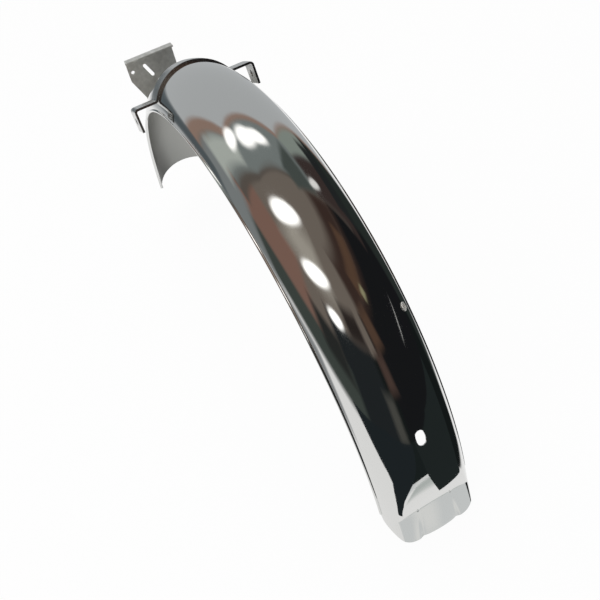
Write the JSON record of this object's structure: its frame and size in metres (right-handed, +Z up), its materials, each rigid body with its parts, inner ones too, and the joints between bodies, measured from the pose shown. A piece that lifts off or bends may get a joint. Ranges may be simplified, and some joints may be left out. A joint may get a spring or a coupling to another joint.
{
  "type": "moped rear mudguard",
  "caption": "Plated pressed-steel rear mudguard: a rounded channel arched over the wheel, with a formed tail lip, an eared strap over the crown and an upright front bracket.",
  "frame": {"origin": "on the rear wheel's axis, in the guard's middle plane", "axes": "+X to the right seen from behind, +Y forward, +Z up as the guard sits over the wheel"},
  "size_m": [0.1248, 0.5827, 0.2882],
  "materials": {
    "bright_plate": "bright chromium plate outside, satin inside",
    "strap_plate": "bright chromium plate over plain bent strip",
    "dull_plate": "dull grey plating",
    "eyelet_metal": "plain plated eyelet"
  },
  "bodies": {
    "root": {"guard_shell": "bright_plate", "saddle_strap": "strap_plate", "front_bracket": "dull_plate", "side_eyelet": "eyelet_metal"}
  },
  "joints": []
}
